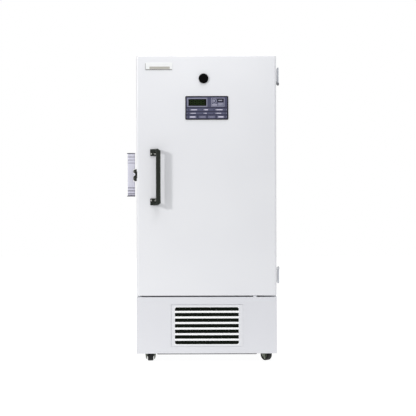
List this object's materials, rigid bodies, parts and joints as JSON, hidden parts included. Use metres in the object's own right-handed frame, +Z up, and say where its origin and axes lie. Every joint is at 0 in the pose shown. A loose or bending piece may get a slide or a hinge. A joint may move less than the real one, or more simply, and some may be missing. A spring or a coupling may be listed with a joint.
{
  "type": "ultra low temperature freezer",
  "caption": "Upright insulated freezer cabinet with one hinged outer door, inner doors, shelves, side latch, front grille and casters.",
  "frame": {"origin": "on the floor, under the centre of the body", "axes": "+Z up, +Y towards the rear face, +X to the hinge side as seen from the front"},
  "size_m": [0.9985, 1.026, 1.98],
  "materials": {
    "white_paint": "satin",
    "white_moulding": "satin",
    "foam": "matte",
    "stainless": "satin",
    "galvanised": "satin",
    "screw_steel": "satin",
    "dark_steel": "satin",
    "compressor_black": "satin",
    "handle_black": "satin",
    "copper": "satin",
    "aluminium": "satin",
    "lever_grey": "satin",
    "gasket": "matte",
    "black_rubber": "matte",
    "tread": "matte",
    "black_plastic": "satin",
    "jacket": "matte",
    "panel_slate": "satin",
    "key_slate": "satin",
    "window_dark": "gloss",
    "board_green": "satin",
    "spring_steel": "satin",
    "port_white": "matte"
  },
  "bodies": {
    "cabinet": {"cabinet_shell": "white_paint", "insulation_foam": "foam", "inner_tank": "stainless", "evaporator_coil": "copper", "breaker_frame": "white_moulding", "shelf_supports": "stainless", "shelves": "stainless", "hinge_brackets": "white_paint", "hinge_pins": "stainless", "latch_keeper": "galvanised", "access_port": "port_white", "wall_brackets": "white_paint", "base_skirt": "white_paint", "base_pan": "galvanised", "rear_cover": "galvanised", "condenser": "aluminium", "fan_motor": "dark_steel", "compressors": "compressor_black", "compressor_grommets": "black_rubber", "heat_exchanger": "jacket", "refrigerant_lines": "copper", "control_box": "black_plastic", "power_inlet": "black_plastic", "caster_plates": "galvanised"},
    "outer_door": {"door_shell": "white_paint", "door_foam": "foam", "door_liner": "white_moulding", "door_gasket": "gasket", "hinge_lugs": "dark_steel", "door_handle": "handle_black", "handle_screws": "screw_steel", "nameplate_blank": "aluminium", "control_bezel": "panel_slate", "display_window": "window_dark", "display_board": "board_green", "vent_valve_body": "black_plastic", "vent_valve_spring": "spring_steel", "latch_clevis": "dark_steel"},
    "inner_door_upper": {"inner_door_upper": "white_moulding"},
    "inner_door_lower": {"inner_door_lower": "white_moulding"},
    "latch": {"latch_lever": "lever_grey"},
    "vent_cap": {"vent_valve_cap": "black_plastic"},
    "key_set": {"key_set": "key_slate"},
    "key_up": {"key_up": "key_slate"},
    "key_down": {"key_down": "key_slate"},
    "key_mute": {"key_mute": "key_slate"},
    "grille": {"grille_cover": "white_moulding", "air_filter": "black_plastic"},
    "fan": {"fan_blades": "dark_steel"},
    "power_rocker": {"power_switch": "black_plastic"},
    "caster_fl": {"caster_fork_fl": "galvanised"},
    "wheel_fl": {"caster_wheel_fl": "tread"},
    "pedal_fl": {"brake_pedal_fl": "black_plastic"},
    "caster_fr": {"caster_fork_fr": "galvanised"},
    "wheel_fr": {"caster_wheel_fr": "tread"},
    "pedal_fr": {"brake_pedal_fr": "black_plastic"},
    "caster_rl": {"caster_fork_rl": "galvanised"},
    "wheel_rl": {"caster_wheel_rl": "tread"},
    "caster_rr": {"caster_fork_rr": "galvanised"},
    "wheel_rr": {"caster_wheel_rr": "tread"}
  },
  "joints": [
    {"name": "outer_door_swing", "type": "hinge", "parent": "cabinet", "child": "outer_door", "pos_m": [0.471, -0.372, 1.2], "axis": [0, 0, 1], "range_deg": [0, 120]},
    {"name": "inner_door_upper_swing", "type": "hinge", "parent": "cabinet", "child": "inner_door_upper", "pos_m": [0.296, -0.37, 1.516], "axis": [0, 0, 1], "range_deg": [0, 108]},
    {"name": "inner_door_lower_swing", "type": "hinge", "parent": "cabinet", "child": "inner_door_lower", "pos_m": [0.296, -0.37, 0.882], "axis": [0, 0, 1], "range_deg": [0, 108]},
    {"name": "latch_lever_turn", "type": "hinge", "parent": "outer_door", "child": "latch", "pos_m": [-0.466, -0.398, 1.2168], "axis": [0, 0, 1], "range_deg": [-50, 0]},
    {"name": "vent_push", "type": "slide", "parent": "outer_door", "child": "vent_cap", "axis": [0, 1, 0], "range_m": [0, 0.004], "stiffness_N_per_m": 900, "springref_m": -0.004, "deforming": ["vent_valve_spring"]},
    {"name": "grille_swing", "type": "hinge", "parent": "cabinet", "child": "grille", "pos_m": [-0.2275, -0.4686, 0.235], "axis": [0, 0, -1], "range_deg": [0, 110]},
    {"name": "fan_spin", "type": "hinge", "parent": "cabinet", "child": "fan", "pos_m": [0, -0.352, 0.231], "axis": [0, 1, 0], "continuous": true},
    {"name": "power_rocker_tilt", "type": "hinge", "parent": "cabinet", "child": "power_rocker", "pos_m": [0.389, 0.4655, 0.3], "axis": [1, 0, 0], "range_deg": [0, 16]},
    {"name": "key_set_press", "type": "slide", "parent": "outer_door", "child": "key_set", "axis": [0, 1, 0], "range_m": [0, 0.0008], "stiffness_N_per_m": 1500, "springref_m": -0.0008},
    {"name": "key_up_press", "type": "slide", "parent": "outer_door", "child": "key_up", "axis": [0, 1, 0], "range_m": [0, 0.0008], "stiffness_N_per_m": 1500, "springref_m": -0.0008},
    {"name": "key_down_press", "type": "slide", "parent": "outer_door", "child": "key_down", "axis": [0, 1, 0], "range_m": [0, 0.0008], "stiffness_N_per_m": 1500, "springref_m": -0.0008},
    {"name": "key_mute_press", "type": "slide", "parent": "outer_door", "child": "key_mute", "axis": [0, 1, 0], "range_m": [0, 0.0008], "stiffness_N_per_m": 1500, "springref_m": -0.0008},
    {"name": "caster_swivel_fl", "type": "hinge", "parent": "cabinet", "child": "caster_fl", "pos_m": [-0.37, -0.38, 0.1], "axis": [0, 0, 1], "continuous": true},
    {"name": "wheel_spin_fl", "type": "hinge", "parent": "caster_fl", "child": "wheel_fl", "pos_m": [-0.36805, -0.40793, 0.0375], "axis": [0.9976, 0.0698, 0], "continuous": true},
    {"name": "brake_pedal_fl_lift", "type": "hinge", "parent": "caster_fl", "child": "pedal_fl", "pos_m": [-0.36662, -0.42838, 0.082], "axis": [-0.9976, -0.0698, 0], "range_deg": [0, 20]},
    {"name": "caster_swivel_fr", "type": "hinge", "parent": "cabinet", "child": "caster_fr", "pos_m": [0.37, -0.38, 0.1], "axis": [0, 0, 1], "continuous": true},
    {"name": "wheel_spin_fr", "type": "hinge", "parent": "caster_fr", "child": "wheel_fr", "pos_m": [0.388, -0.40145, 0.0375], "axis": [0.766, 0.6428, 0], "continuous": true},
    {"name": "brake_pedal_fr_lift", "type": "hinge", "parent": "caster_fr", "child": "pedal_fr", "pos_m": [0.40118, -0.41715, 0.082], "axis": [-0.766, -0.6428, 0], "range_deg": [0, 20]},
    {"name": "caster_swivel_rl", "type": "hinge", "parent": "cabinet", "child": "caster_rl", "pos_m": [-0.37, 0.38, 0.1], "axis": [0, 0, 1], "continuous": true},
    {"name": "wheel_spin_rl", "type": "hinge", "parent": "caster_rl", "child": "wheel_rl", "pos_m": [-0.36418, 0.40739, 0.0375], "axis": [-0.9781, 0.2079, 0], "continuous": true},
    {"name": "caster_swivel_rr", "type": "hinge", "parent": "cabinet", "child": "caster_rr", "pos_m": [0.37, 0.38, 0.1], "axis": [0, 0, 1], "continuous": true},
    {"name": "wheel_spin_rr", "type": "hinge", "parent": "caster_rr", "child": "wheel_rr", "pos_m": [0.35817, 0.40538, 0.0375], "axis": [-0.9063, -0.4226, 0], "continuous": true}
  ],
  "couplings": [
    {"joint": "inner_door_upper_swing", "follows": "outer_door_swing", "ratio": 0.9},
    {"joint": "inner_door_lower_swing", "follows": "outer_door_swing", "ratio": 0.9}
  ]
}
